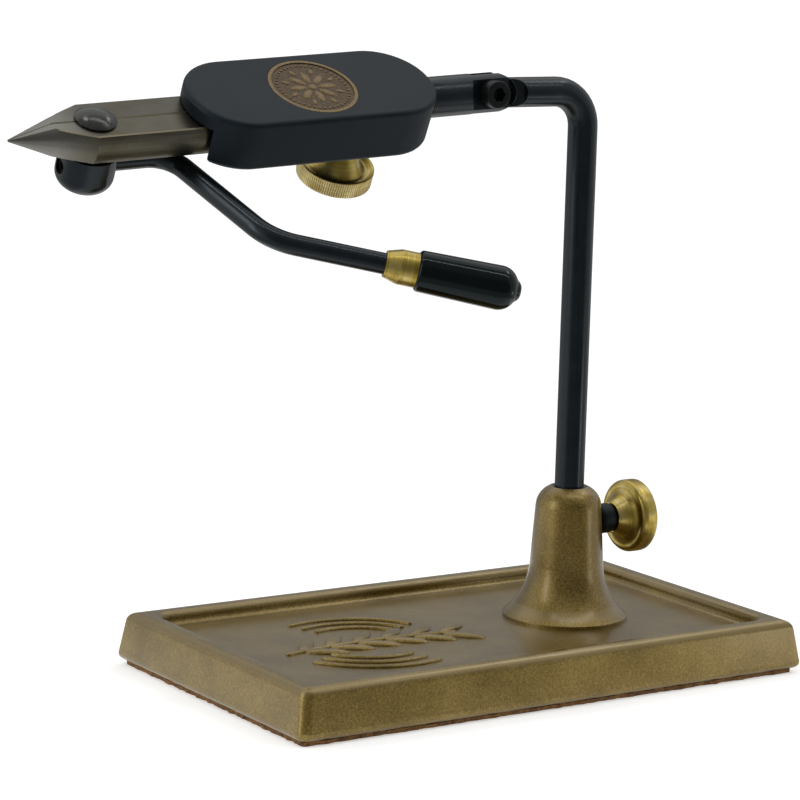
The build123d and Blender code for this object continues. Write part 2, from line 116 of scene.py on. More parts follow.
def makeBronzePaint():
    p = bronzePaint
    mat, shader, place = startMaterial("bronze paint under clear lacquer", **{
        "Metallic": p["metal"], "Coat Weight": p["lacquer"],
        "Coat Roughness": p["lacquerRough"], "Coat IOR": p["lacquerIor"]})
    flake = addNode(mat, "TexNoise", {"Scale": 1 / (p["flake"] * mm), "Detail": 2.0, "Roughness": 0.6},
                    {"Vector": place})
    peel = addNode(mat, "TexNoise", {"Scale": 1 / (p["peel"] * mm), "Detail": 2.0}, {"Vector": place})
    cloud = addNode(mat, "TexNoise", {"Scale": 1 / (p["cloud"] * mm), "Detail": 4.0}, {"Vector": place})
    speck = addNode(mat, "Math", {"operation": "MULTIPLY_ADD", 1: p["cloudShare"]},
                    {0: cloud.outputs[0], 2: flake.outputs[0]})
    tone = stops(addNode(mat, "ValToRGB", links={0: speck.outputs[0]}),
                 (0.58, linear(p["dark"])), (0.8, linear(p["mid"])), (1.0, linear(p["light"])))
    # rubbed wear and painted highlight where the rim rolls over from its top to its sides
    up = addNode(mat, "SeparateXYZ", links={0: addNode(mat, "NewGeometry").outputs["Normal"]})
    height = addNode(mat, "SeparateXYZ", links={0: place})
    roll = stops(addNode(mat, "ValToRGB", links={0: up.outputs[2]}),
                 (0.2, grey(0)), (0.5, grey(1)), (0.85, grey(1)), (0.98, grey(0)))
    high = addNode(mat, "MapRange", {1: p["rimLow"] * mm, 2: p["rimHigh"] * mm}, {0: height.outputs[2]})
    onRim = addNode(mat, "MapRange", {1: (p["rimEnd"] + p["rimFade"]) * mm, 2: p["rimEnd"] * mm},
                    {0: height.outputs[2]})
    rubAndHighlight = roll
    for share in (high, onRim, speck):
        rubAndHighlight = addNode(mat, "Math", {"operation": "MULTIPLY"}, {0: rubAndHighlight.outputs[0], 1: share.outputs[0]})
    final = addNode(mat, "Mix", {"data_type": "RGBA", 7: linear(p["rubbedAndHighlit"])},
                    {0: rubAndHighlight.outputs[0], 6: tone.outputs[0]})
    rough = addNode(mat, "MapRange", {1: 0.3, 2: 0.7, 3: p["smooth"], 4: p["rough"]}, {0: flake.outputs[0]})
    wave = addNode(mat, "Math", {"operation": "MULTIPLY_ADD", 1: p["flakeShare"]},
                   {0: flake.outputs[0], 2: peel.outputs[0]})
    bump = addNode(mat, "Bump", {"Strength": p["relief"], "Distance": p["reliefDepth"] * mm},
                   {"Height": wave.outputs[0]})
    join(mat, final.outputs[2], shader, "Base Color")
    join(mat, rough.outputs[0], shader, "Roughness")
    join(mat, bump.outputs[0], shader, "Normal")
    return mat


# cork sheet, pressed granules
cork = {
    "light": "#86602f", "mid": "#5c3e21", "dark": "#2a1a0d", "rough": 0.88, "granule": 1.6, "fleck": 0.5,
    "granuleShare": 0.5, "relief": 0.6, "reliefDepth": 0.2,
}  # mm


def makeCork():
    mat, shader, place = startMaterial("pressed cork sheet", Roughness=cork["rough"])
    granule = addNode(mat, "TexVoronoi", {"Scale": 1 / (cork["granule"] * mm)}, {"Vector": place})
    fleck = addNode(mat, "TexNoise", {"Scale": 1 / (cork["fleck"] * mm), "Detail": 3.0}, {"Vector": place})
    both = addNode(mat, "Math", {"operation": "MULTIPLY_ADD", 1: cork["granuleShare"]},
                   {0: granule.outputs["Color"], 2: fleck.outputs[0]})
    tone = stops(addNode(mat, "ValToRGB", links={0: both.outputs[0]}),
                 (0.35, linear(cork["dark"])), (0.6, linear(cork["mid"])), (0.95, linear(cork["light"])))
    bump = addNode(mat, "Bump", {"Strength": cork["relief"], "Distance": cork["reliefDepth"] * mm},
                   {"Height": both.outputs[0]})
    join(mat, tone.outputs[0], shader, "Base Color")
    join(mat, bump.outputs[0], shader, "Normal")
    return mat


# black oxide on drawn steel bar: blue-black, faint draw lines along the bar, slightly uneven gloss
blackOxide = {
    "light": "#101517", "dark": "#080b0d", "gleam": "#e6f5ff", "gloss": 0.34, "smooth": 0.18, "rough": 0.3,
    "line": 0.35, "lineLength": 45.0, "cloud": 9.0, "lineShare": 0.6, "relief": 0.12, "reliefDepth": 0.03,
}  # mm


def makeBlackOxide(name, alongHead):
    b = blackOxide
    mat, shader, place = startMaterial(name, **{
        "Specular IOR Level": b["gloss"], "Specular Tint": linear(b["gleam"])})
    fine, slow = 1 / (b["line"] * mm), 1 / (b["lineLength"] * mm)
    if alongHead:
        lines = headAxes(mat, place, (slow, fine, fine))
    else:
        lines = addNode(mat, "Mapping", {"Scale": (fine, fine, slow)}, {"Vector": place}).outputs[0]
    grain = addNode(mat, "TexNoise", {"Scale": 1.0, "Detail": 3.0}, {"Vector": lines})
    cloud = addNode(mat, "TexNoise", {"Scale": 1 / (b["cloud"] * mm), "Detail": 3.0}, {"Vector": place})
    mixed = addNode(mat, "Math", {"operation": "MULTIPLY_ADD", 1: b["lineShare"]},
                    {0: grain.outputs[0], 2: cloud.outputs[0]})
    tone = stops(addNode(mat, "ValToRGB", links={0: mixed.outputs[0]}),
                 (0.55, linear(b["dark"])), (1.0, linear(b["light"])))
    rough = addNode(mat, "MapRange", {1: 0.5, 2: 1.1, 3: b["smooth"], 4: b["rough"]}, {0: mixed.outputs[0]})
    bump = addNode(mat, "Bump", {"Strength": b["relief"], "Distance": b["reliefDepth"] * mm},
                   {"Height": grain.outputs[0]})
    join(mat, tone.outputs[0], shader, "Base Color")
    join(mat, rough.outputs[0], shader, "Roughness")
    join(mat, bump.outputs[0], shader, "Normal")
    return mat


# satin black coat on aluminium: even, fine orange peel
satinCoat = {
    "light": "#161c21", "dark": "#0f151a", "gleam": "#e0f2ff", "gloss": 0.19, "smooth": 0.4, "rough": 0.5,
    "peel": 0.8, "cloud": 16.0, "relief": 0.1, "reliefDepth": 0.03,
}  # mm


def makeSatinCoat():
    c = satinCoat
    mat, shader, place = startMaterial("satin black coat on aluminium", **{
        "Specular IOR Level": c["gloss"], "Specular Tint": linear(c["gleam"])})
    peel = addNode(mat, "TexNoise", {"Scale": 1 / (c["peel"] * mm), "Detail": 2.0}, {"Vector": place})
    cloud = addNode(mat, "TexNoise", {"Scale": 1 / (c["cloud"] * mm), "Detail": 3.0}, {"Vector": place})
    tone = stops(addNode(mat, "ValToRGB", links={0: cloud.outputs[0]}),
                 (0.35, linear(c["dark"])), (0.65, linear(c["light"])))
    rough = addNode(mat, "MapRange", {1: 0.3, 2: 0.7, 3: c["smooth"], 4: c["rough"]}, {0: cloud.outputs[0]})
    bump = addNode(mat, "Bump", {"Strength": c["relief"], "Distance": c["reliefDepth"] * mm},
                   {"Height": peel.outputs[0]})
    join(mat, tone.outputs[0], shader, "Base Color")
    join(mat, rough.outputs[0], shader, "Roughness")
    join(mat, bump.outputs[0], shader, "Normal")
    return mat


# ground tool steel, bronzed brown by heat: lengthwise grinding lines, warm stain, lighter towards the point
groundSteel = {
    # the near and far jaws take lit and shaded copies of one steel: their difference in tone is painted light
    "near": ("#66645b", "#4c4a41", "#4a4431"), "far": ("#615f57", "#494842", "#464130"),  # light, mid, stain
    "wearAndHighlight": "#8f8670", "tip": "#93928f", "tipShare": 0.43, "smooth": 0.26, "rough": 0.42, "wearAndHighlightRough": 0.2,
    "line": 0.16, "lineLength": 14.0, "cloud": 11.0, "coneStart": 136.0, "coneMiddle": 148.0,  # mm
    "relief": 0.22, "reliefDepth": 0.03,
}


def makeGroundSteel(half):
    g = groundSteel
    light, mid, stain = g[half]
    mat, shader, place = startMaterial("ground tool steel, bronzed, " + half + " jaw", Metallic=1.0)
    fine, slow = 1 / (g["line"] * mm), 1 / (g["lineLength"] * mm)
    grind = addNode(mat, "TexNoise", {"Scale": 1.0, "Detail": 4.0, "Roughness": 0.6},
                    {"Vector": headAxes(mat, place, (slow, fine, fine))})
    cloud = addNode(mat, "TexNoise", {"Scale": 1 / (g["cloud"] * mm), "Detail": 3.0}, {"Vector": place})
    tone = stops(addNode(mat, "ValToRGB", links={0: grind.outputs[0]}),
                 (0.3, linear(mid)), (0.75, linear(light)))
    patch = stops(addNode(mat, "ValToRGB", links={0: cloud.outputs[0]}), (0.4, grey(0.1)), (0.7, grey(0.7)))
    stained = addNode(mat, "Mix", {"data_type": "RGBA", 7: linear(stain)},
                      {0: patch.outputs[0], 6: tone.outputs[0]})
    along = addNode(mat, "SeparateXYZ", links={0: headAxes(mat, place)})
    # the colour gets lighter towards the point
    towardsPoint = addNode(mat, "MapRange", {1: g["coneStart"] * mm, 2: g["coneMiddle"] * mm, 4: g["tipShare"]},
                    {0: along.outputs[0]})
    tipped = addNode(mat, "Mix", {"data_type": "RGBA", 7: linear(g["tip"])},
                     {0: towardsPoint.outputs[0], 6: stained.outputs[2]})
    # bevels of the broken edges are lighter: rubbed wear and painted highlight
    wearAndHighlight = addNode(mat, "Attribute", {"attribute_name": "wearAndHighlight"})  # the jaws' broken edges
    rubbedAndHighlit = addNode(mat, "Math", {"operation": "MULTIPLY_ADD", 1: 0.6, 2: 0.6}, {0: cloud.outputs[0]})
    edgeWearAndHighlight = addNode(mat, "Math", {"operation": "MULTIPLY"}, {0: wearAndHighlight.outputs["Fac"], 1: rubbedAndHighlit.outputs[0]})
    bright = addNode(mat, "Mix", {"data_type": "RGBA", 7: linear(g["wearAndHighlight"])},
                     {0: edgeWearAndHighlight.outputs[0], 6: tipped.outputs[2]})
    satin = addNode(mat, "MapRange", {1: 0.3, 2: 0.7, 3: g["smooth"], 4: g["rough"]}, {0: grind.outputs[0]})
    rough = addNode(mat, "Math", {"operation": "MULTIPLY_ADD", 1: g["wearAndHighlightRough"]},
                    {0: edgeWearAndHighlight.outputs[0], 2: satin.outputs[0]})
    bump = addNode(mat, "Bump", {"Strength": g["relief"], "Distance": g["reliefDepth"] * mm},
                   {"Height": grind.outputs[0]})
    join(mat, bright.outputs[2], shader, "Base Color")
    join(mat, rough.outputs[0], shader, "Roughness")
    join(mat, bump.outputs[0], shader, "Normal")
    return mat


# turned brass, a little tarnished: tool rings round the axis, drawn coarser than the real 0.1 mm
turnedBrass = {
    "light": "#c0b07c", "mid": "#ab974f", "dark": "#856f26", "wearAndHighlight": "#e0d6b8", "smooth": 0.28, "rough": 0.38,
    "ring": 0.5, "cloud": 5.0, "ringShare": 0.5, "relief": 0.07, "reliefDepth": 0.03,
}  # mm


def makeBrass(name, turn, centre):
    b = turnedBrass
    mat, shader, place = startMaterial(name, Metallic=1.0)
    own = addNode(mat, "Mapping", {"vector_type": "TEXTURE", "Location": centre, "Rotation": turn},
                  {"Vector": place})
    parts = addNode(mat, "SeparateXYZ", links={0: own.outputs[0]})
    flat = addNode(mat, "CombineXYZ", links={0: parts.outputs[0], 1: parts.outputs[1]})
    radius = addNode(mat, "VectorMath", {"operation": "LENGTH"}, {0: flat.outputs[0]})
    rings = addNode(mat, "CombineXYZ", links={0: radius.outputs["Value"], 1: parts.outputs[2]})
    tool = addNode(mat, "TexNoise", {"noise_dimensions": "2D", "Scale": 1 / (b["ring"] * mm), "Detail": 2.0},
                   {"Vector": rings.outputs[0]})
    cloud = addNode(mat, "TexNoise", {"Scale": 1 / (b["cloud"] * mm), "Detail": 3.0}, {"Vector": place})
    mixed = addNode(mat, "Math", {"operation": "MULTIPLY_ADD", 1: b["ringShare"]},
                    {0: tool.outputs[0], 2: cloud.outputs[0]})
    tone = stops(addNode(mat, "ValToRGB", links={0: mixed.outputs[0]}),
                 (0.45, linear(b["dark"])), (0.75, linear(b["mid"])), (1.0, linear(b["light"])))
    # the knurl ridges are lighter: wear and painted highlight
    wearAndHighlight = addNode(mat, "Attribute", {"attribute_name": "wearAndHighlight"})  # ridges of the knurled rim
    ridge = addNode(mat, "Math", {"operation": "MULTIPLY"}, {0: wearAndHighlight.outputs["Fac"], 1: cloud.outputs[0]})
    bright = addNode(mat, "Mix", {"data_type": "RGBA", 7: linear(b["wearAndHighlight"])},
                     {0: ridge.outputs[0], 6: tone.outputs[0]})
    rough = addNode(mat, "MapRange", {1: 0.5, 2: 1.0, 3: b["rough"], 4: b["smooth"]}, {0: mixed.outputs[0]})
    bump = addNode(mat, "Bump", {"Strength": b["relief"], "Distance": b["reliefDepth"] * mm},
                   {"Height": tool.outputs[0]})
    join(mat, bright.outputs[2], shader, "Base Color")
    join(mat, rough.outputs[0], shader, "Roughness")
    join(mat, bump.outputs[0], shader, "Normal")
    return mat


# antique bronze, darkened in its hollows
antiqueBronze = {
    "light": "#8a7650", "mid": "#5a4a35", "dark": "#2f261c", "rough": 0.42, "metal": 0.85, "grain": 0.6,
    "low": 7.5, "high": 8.0, "raisedShare": 0.55, "grainShare": 0.6, "relief": 0.25, "reliefDepth": 0.05,
}  # mm, low and high up from the arm's axis


def makeAntiqueBronze():
    a = antiqueBronze
    mat, shader, place = startMaterial("antique bronze plate", Roughness=a["rough"], Metallic=a["metal"])
    grain = addNode(mat, "TexNoise", {"Scale": 1 / (a["grain"] * mm), "Detail": 4.0}, {"Vector": place})
    heights = addNode(mat, "SeparateXYZ", links={0: headAxes(mat, place)})
    raised = addNode(mat, "MapRange", {1: a["low"] * mm, 2: a["high"] * mm, 4: a["raisedShare"]},
                     {0: heights.outputs[2]})
    mixed = addNode(mat, "Math", {"operation": "MULTIPLY_ADD", 1: a["grainShare"]},
                    {0: grain.outputs[0], 2: raised.outputs[0]})
    tone = stops(addNode(mat, "ValToRGB", links={0: mixed.outputs[0]}),
                 (0.2, linear(a["dark"])), (0.45, linear(a["mid"])), (0.85, linear(a["light"])))
    bump = addNode(mat, "Bump", {"Strength": a["relief"], "Distance": a["reliefDepth"] * mm},
                   {"Height": grain.outputs[0]})
    join(mat, tone.outputs[0], shader, "Base Color")
    join(mat, bump.outputs[0], shader, "Normal")
    return mat


# small fittings, each with its own fine texture: name, dark, light, roughness, metal, grain in mm, relief
smallFinishes = {
    "blackNylon": ("moulded black nylon", "#050606", "#0a0b0b", 0.42, 0.0, 0.6, 0.06),
    "screwSteel": ("black screw steel", "#101110", "#1d1d1b", 0.32, 0.3, 0.5, 0.06),
    "bareSteel": ("bare steel", "#77797a", "#a5a7a8", 0.3, 1.0, 0.3, 0.06),
    "softBrass": ("soft brass", "#8c7032", "#b8984e", 0.34, 1.0, 0.4, 0.06),
    "buttonSteel": ("bronzed steel button", "#3a3a38", "#4c4c49", 0.22, 0.9, 0.5, 0.04),
    "glossVinyl": ("dipped gloss vinyl", "#040606", "#070909", 0.1, 0.0, 6.0, 0.01),
}
smallGloss = {"gloss": 0.22, "gleam": "#d6f0f6", "smoother": 0.85, "rougher": 1.2, "reliefDepth": 0.05}  # mm


def makeSmallFinish(key):
    name, dark, light, roughness, metal, grainSize, relief = smallFinishes[key]
    mat, shader, place = startMaterial(name, Metallic=metal)
    if metal < 0.5:
        shader.inputs["Specular IOR Level"].default_value = smallGloss["gloss"]
        shader.inputs["Specular Tint"].default_value = linear(smallGloss["gleam"])
    grain = addNode(mat, "TexNoise", {"Scale": 1 / (grainSize * mm), "Detail": 3.0}, {"Vector": place})
    tone = stops(addNode(mat, "ValToRGB", links={0: grain.outputs[0]}),
                 (0.3, linear(dark)), (0.7, linear(light)))
    gloss = {3: roughness * smallGloss["smoother"], 4: roughness * smallGloss["rougher"]}
    rough = addNode(mat, "MapRange", {1: 0.3, 2: 0.7, **gloss}, {0: grain.outputs[0]})
    bump = addNode(mat, "Bump", {"Strength": relief, "Distance": smallGloss["reliefDepth"] * mm},
                   {"Height": grain.outputs[0]})
    join(mat, tone.outputs[0], shader, "Base Color")
    join(mat, rough.outputs[0], shader, "Roughness")
    join(mat, bump.outputs[0], shader, "Normal")
    return mat


finishes = {key: makeSmallFinish(key) for key in smallFinishes}
finishes["bronzePaint"] = makeBronzePaint()
finishes["cork"] = makeCork()
finishes["barSteel"] = makeBlackOxide("black oxide on steel bar", False)
finishes["armSteel"] = makeBlackOxide("black oxide on turned arm", True)
finishes["satinCoat"] = makeSatinCoat()
finishes["nearJawSteel"] = makeGroundSteel("near")
finishes["farJawSteel"] = makeGroundSteel("far")
finishes["antiqueBronze"] = makeAntiqueBronze()

# each brass piece has its rings round its own axis
stemKnobCentre = Vector((stemLock["stemAxis"], 0, stemLock["height"])) * mm
finishes["stemBrass"] = makeBrass("turned brass of the stem lock", Euler((0, math.pi / 2, 0)), stemKnobCentre)
headKnobCentre = headMatrix @ (Vector((rotaryLock["along"], 0, 0)) * mm)
finishes["headBrass"] = makeBrass("turned brass of the rotation lock", headTurn, headKnobCentre)
leverTurn = headTurn.to_matrix() @ Euler((math.pi / 2, 0, math.radians(leverPlace["lean"]))).to_matrix()
ferruleCentre = headMatrix @ (Vector(leverPlace["ferrule"]) * mm)
finishes["ferruleBrass"] = makeBrass("turned brass of the ferrule", leverTurn.to_euler(), ferruleCentre)
print("materials made:", len(finishes))

dressing = {
    "base_casting": "bronzePaint", "bench_pad": "cork", "stem_bush": "barSteel", "stem": "barSteel",
    "stem_lock_knob": "stemBrass", "stem_lock_stud": "bareSteel",
    "stem_lock_collar": "blackNylon", "stem_lock_shoe": "softBrass",
    "head_arm": "armSteel", "tilt_screw": "screwSteel", "tilt_nut": "screwSteel",
    "head_housing": "satinCoat", "channel_cover": "satinCoat", "cover_screws": "screwSteel",
    "badge": "antiqueBronze", "arm_bush": "softBrass",
    "jaw_pivot_pins": "bareSteel", "near_jaw_spring": "bareSteel", "far_jaw_spring": "bareSteel",
    "rotary_lock_knob": "headBrass", "rotary_lock_stud": "bareSteel",
    "rotary_lock_collar": "blackNylon", "rotary_lock_shoe": "softBrass",
    "near_jaw": "nearJawSteel", "far_jaw": "farJawSteel",
    "cam_pin": "buttonSteel", "hub_set_screw": "buttonSteel",
    "hub_washer": "blackNylon", "lever_hub": "armSteel",
    "lever_rod": "armSteel", "lever_ferrule": "ferruleBrass", "lever_grip": "glossVinyl",
}
for name, finish in dressing.items():
    for slot in nodes[name].material_slots:
        slot.material = finishes[finish]
print("solids dressed:", len(dressing))


# edges over crisp degrees stay sharp
def addPiece(name, bm, finish, body, standsFor=None, crisp=35):
    bmesh.ops.recalc_face_normals(bm, faces=bm.faces)
    mesh = bpy.data.meshes.new(name)
    bm.to_mesh(mesh)
    bm.free()
    for face in mesh.polygons:
        face.use_smooth = True
    mesh.set_sharp_from_angle(angle=math.radians(crisp))
    mesh.materials.append(finishes[finish])
    piece = bpy.data.objects.new(name, mesh)
    bpy.context.scene.collection.objects.link(piece)
    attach(piece, body)
    if standsFor:
        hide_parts(standsFor)


# turned and dipped pieces: a profile of radius and height in mm, spun round Z
def spun(profile, steps):
    bm = bmesh.new()
    points = [bm.verts.new((r * mm, 0, z * mm)) for r, z in profile]
    line = [bm.edges.new(pair) for pair in zip(points, points[1:])]
    bmesh.ops.spin(bm, geom=points + line, axis=(0, 0, 1), cent=(0, 0, 0), dvec=(0, 0, 0),
                   angle=math.tau, steps=steps, use_merge=True)
    bmesh.ops.remove_doubles(bm, verts=bm.verts, dist=1e-7)
    return bm


def corner(r, z, radius, start, stop, steps=8):  # arc in a profile, angles in degrees
    angles = [math.radians(start + (stop - start) * i / steps) for i in range(steps + 1)]
    return [(r + radius * math.cos(a), z + radius * math.sin(a)) for a in angles]


# lock knobs: cone boss, hollow inner face with a soft lip, and on the head a knurled rim
lockKnob = {
    "bore": 3.02, "studDepth": 6.5, "boss": 4.9, "root": 6.9, "cone": 3.7, "lip": 5.1, "radius": 11.9,
    "edge": 0.6, "edgeSteps": 4, "top": 10.6, "hollowSteps": 12,
    "ridges": 100, "ridgeDepth": 0.28, "rimSkin": 0.05,
}  # mm
stemKnobPlace = Matrix.Translation((stemLock["knobStart"] * mm, 0, stemLock["height"] * mm))
stemKnobPlace = stemKnobPlace @ Matrix.Rotation(math.pi / 2, 4, "Y")
headKnobPlace = headMatrix @ Matrix.Translation((rotaryLock["along"] * mm, 0, rotaryLock["knobStart"] * mm))
headKnobPlace = headKnobPlace @ Matrix.Rotation(math.pi, 4, "X")


def makeLockKnob(name, place, finish, body, node, hollow, lipRound, knurled):
    k = lockKnob
    profile = [(0, k["studDepth"]), (k["bore"], k["studDepth"]), (k["bore"], 0)]
    profile += [(k["boss"], 0), (k["root"], k["cone"])]
    lipStart = k["radius"] - lipRound
    for step in range(1, k["hollowSteps"]):  # hollow face between the cone and the lip
        t = step / k["hollowSteps"]
        level = k["cone"] + (k["lip"] - k["cone"]) * t + math.sin(math.pi * t) * hollow
        profile.append((k["root"] + (lipStart - k["root"]) * t, level))
    profile += corner(lipStart, k["lip"] + lipRound, lipRound, 270, 360)
    profile += corner(k["radius"] - k["edge"], k["top"] - k["edge"], k["edge"], 0, 90, k["edgeSteps"])
    profile.append((0, k["top"]))
    steps = 2 * k["ridges"]
    bm = spun(profile, steps)
    wearAndHighlight = bm.verts.layers.float.new("wearAndHighlight")
    rim = [v for v in bm.verts if math.hypot(v.co.x, v.co.y) > (k["radius"] - k["rimSkin"]) * mm]
    for vert in rim if knurled else []:  # every second column of the rim is a groove, the others are marked for wear and painted highlight
        column = round(math.atan2(vert.co.y, vert.co.x) / math.tau * steps)
        if column % 2:
            vert.co.xy *= 1 - k["ridgeDepth"] / k["radius"]
        else:
            vert[wearAndHighlight] = 1.0
    bmesh.ops.transform(bm, matrix=place, verts=bm.verts)
    addPiece(name, bm, finish, body, node)


makeLockKnob("stemLockKnob", stemKnobPlace, "stemBrass", "stem_lock", "stem_lock_knob", 0.5, 1.7, False)
makeLockKnob("knurledKnob", headKnobPlace, "headBrass", "rotary_lock", "rotary_lock_knob", 1.8, 0.5, True)

# collar of the stem lock: a moulded ring with full rounded shoulders
nylonCollar = {"length": 6.3, "radius": 4.9, "bore": 3.02, "round": 1.8, "steps": 64}  # mm


def makeNylonCollar():
    c = nylonCollar
    shoulder = c["radius"] - c["round"]
    profile = [(c["bore"], 0)] + corner(shoulder, c["round"], c["round"], 270, 360)
    profile += corner(shoulder, c["length"] - c["round"], c["round"], 0, 90)
    profile += [(c["bore"], c["length"]), (c["bore"], 0)]
    bm = spun(profile, c["steps"])
    place = Matrix.Translation((stemLock["collarStart"] * mm, 0, stemLock["height"] * mm))
    place = place @ Matrix.Rotation(math.pi / 2, 4, "Y")
    bmesh.ops.transform(bm, matrix=place, verts=bm.verts)
    addPiece("nylonCollar", bm, "blackNylon", "stem_lock", "stem_lock_collar")


makeNylonCollar()

# grip: a dipped cap round the rod, its end drawn out smoothly into a small nub
dippedGrip = {
    "bore": 3.195, "rodEnd": 24.8, "front": 6.15, "end": 6.6, "length": 30.2, "frontRound": 1.2,
    "endRound": 5.6, "endAngle": 62, "blend": 1.6, "nubAngle": 32, "nubRound": 2.4, "steps": 64,
}  # mm and degrees


def makeDippedGrip():
    g = dippedGrip
    endAngle, nubAngle = math.radians(g["endAngle"]), math.radians(g["nubAngle"])
    dome = Vector((g["end"] - g["endRound"], g["length"] - g["endRound"]))
    waist = dome + Vector((math.cos(endAngle), math.sin(endAngle))) * (g["endRound"] + g["blend"])
    nub = waist - Vector((math.cos(nubAngle), math.sin(nubAngle))) * (g["blend"] + g["nubRound"])
    profile = [(0, g["rodEnd"]), (g["bore"], g["rodEnd"]), (g["bore"], 0)]
    profile += corner(g["front"] - g["frontRound"], g["frontRound"], g["frontRound"], -90, 0)
    profile += corner(*dome, g["endRound"], 0, g["endAngle"])
    profile += corner(*waist, g["blend"], g["endAngle"] + 180, g["nubAngle"] + 180)
    profile += corner(*nub, g["nubRound"], g["nubAngle"], 90)
    profile.append((0, nub.y + g["nubRound"]))
    bm = spun(profile, g["steps"])
    turn = Matrix.Rotation(math.radians(leverPlace["lean"]), 4, "Z") @ Matrix.Rotation(-math.pi / 2, 4, "X")
    place = headMatrix @ Matrix.Translation(Vector(leverPlace["grip"]) * mm) @ turn
    bmesh.ops.transform(bm, matrix=place, verts=bm.verts)
    addPiece("dippedGrip", bm, "glossVinyl", "lever", "lever_grip")


makeDippedGrip()

# jaws: the solids with their sharp edges broken, the bevels lightened as rubbed wear and painted highlight,
# clear of the point
jawPieces = {
    "near_jaw": ("nearJaw", "jaw_near", "nearJawSteel"),
    "far_jaw": ("farJaw", "jaw_far", "farJawSteel"),
}  # piece, body and finish
edgeBreak = {
    "width": 0.3, "shortest": 0.5, "angle": 42, "crisp": 12, "point": (161.1, 0, -2.55), "pointRoom": 2.5,
    "mergeGap": 0.001, "flatAngle": 0.5,
}  # mm and degrees, in the head's own axes


def breakEdges(node):
    name, body, finish = jawPieces[node]
    point = headMatrix @ (Vector(edgeBreak["point"]) * mm)
    bm = bmesh.new()
    bm.from_mesh(nodes[node].data)
    bmesh.ops.remove_doubles(bm, verts=bm.verts, dist=edgeBreak["mergeGap"] * mm)
    flatAngle = math.radians(edgeBreak["flatAngle"])
    bmesh.ops.dissolve_limit(bm, angle_limit=flatAngle, verts=bm.verts, edges=bm.edges)
    wearAndHighlight = bm.faces.layers.float.new("wearAndHighlight")
    sharp = []
    for edge in bm.edges:
        clear = all((v.co - point).length > edgeBreak["pointRoom"] * mm for v in edge.verts)
        long = edge.calc_length() > edgeBreak["shortest"] * mm
        if clear and long and edge.calc_face_angle(0) > math.radians(edgeBreak["angle"]):
            sharp.append(edge)
    made = bmesh.ops.bevel(bm, geom=sharp, offset=edgeBreak["width"] * mm, offset_type="OFFSET",
                           affect="EDGES", segments=1, profile=0.5, material=-1, clamp_overlap=False)
    # the bevel faces carry rubbed wear and painted highlight
    for face in made["faces"]:
        face[wearAndHighlight] = 1.0
    print(node, "edges broken:", len(sharp))
    addPiece(name, bm, finish, body, node, edgeBreak["crisp"])


for node in jawPieces:
    breakEdges(node)

# cork pad: the solid's sheet with its cut edge torn into granules
corkPad = {
    "cuts": 160, "longEdge": 20.0, "thickEdge": 0.5, "thickCuts": 2, "mergeGap": 0.001, "flatAngle": 1.0,
    "grainSize": 2.2, "tear": 0.55, "crumb": 0.9, "crumbScale": 0.45, "crumbShift": (7, 3, 1), "setBack": 0.2,
}  # mm and degrees


def makeCorkPad():
    c = corkPad
    bm = bmesh.new()
    bm.from_mesh(nodes["bench_pad"].data)
    bmesh.ops.remove_doubles(bm, verts=bm.verts, dist=c["mergeGap"] * mm)
    bmesh.ops.dissolve_limit(bm, angle_limit=math.radians(c["flatAngle"]), verts=bm.verts, edges=bm.edges)
    longEdges = [e for e in bm.edges if e.calc_length() > c["longEdge"] * mm]
    bmesh.ops.subdivide_edges(bm, edges=longEdges, cuts=c["cuts"], use_grid_fill=True)
    upright = [e for e in bm.edges if abs(e.verts[0].co.z - e.verts[1].co.z) > c["thickEdge"] * mm]
    bmesh.ops.subdivide_edges(bm, edges=upright, cuts=c["thickCuts"], use_grid_fill=True)
    halfLength, halfWidth = (max(v.co[axis] for v in bm.verts) for axis in (0, 1))
    for vert in bm.verts:
        spot = vert.co / (c["grainSize"] * mm)
        if abs(vert.co.x) - halfLength > abs(vert.co.y) - halfWidth:
            out = Vector((math.copysign(1, vert.co.x), 0, 0))
        else:
            out = Vector((0, math.copysign(1, vert.co.y), 0))
        crumb = max(0, noise.noise(spot * c["crumbScale"] + Vector(c["crumbShift"])))
        vert.co += out * (noise.noise(spot) * c["tear"] + crumb * c["crumb"] - c["setBack"]) * mm
    addPiece("corkPad", bm, "cork", "base", "bench_pad")


makeCorkPad()

# badge relief: a rosette of petals inside a ring of beads, raised from the plate's field
badgeRelief = {
    "along": 63.2, "field": 7.55, "rise": 0.26, "beads": 44, "beadRing": 11.2, "beadSize": 0.5, "petals": 8,
    "petalRing": 4.9, "petal": (3.1, 1.3), "leafRing": 8.4, "leaf": (1.5, 0.8), "boss": 1.5,
}  # mm


def makeBadgeRelief():
    r = badgeRelief
    bm = bmesh.new()
    centre = headMatrix @ Matrix.Translation((r["along"] * mm, 0, r["field"] * mm))

    def drop(ring, angle, halfLength, halfWidth):
        grow = Matrix.Diagonal((halfLength * mm, halfWidth * mm, r["rise"] * mm, 1))
        place = centre @ Matrix.Rotation(angle, 4, "Z") @ Matrix.Translation((ring * mm, 0, 0)) @ grow
        bmesh.ops.create_uvsphere(bm, u_segments=16, v_segments=8, radius=1, matrix=place)

    for i in range(r["beads"]):
        drop(r["beadRing"], math.tau * i / r["beads"], r["beadSize"], r["beadSize"])
    for i in range(r["petals"]):
        angle = math.tau * i / r["petals"]
        drop(r["petalRing"], angle, *r["petal"])
        drop(r["leafRing"], angle + math.pi / r["petals"], *r["leaf"])
    drop(0, 0, r["boss"], r["boss"])
    addPiece("badgeRelief", bm, "antiqueBronze", "head")


makeBadgeRelief()

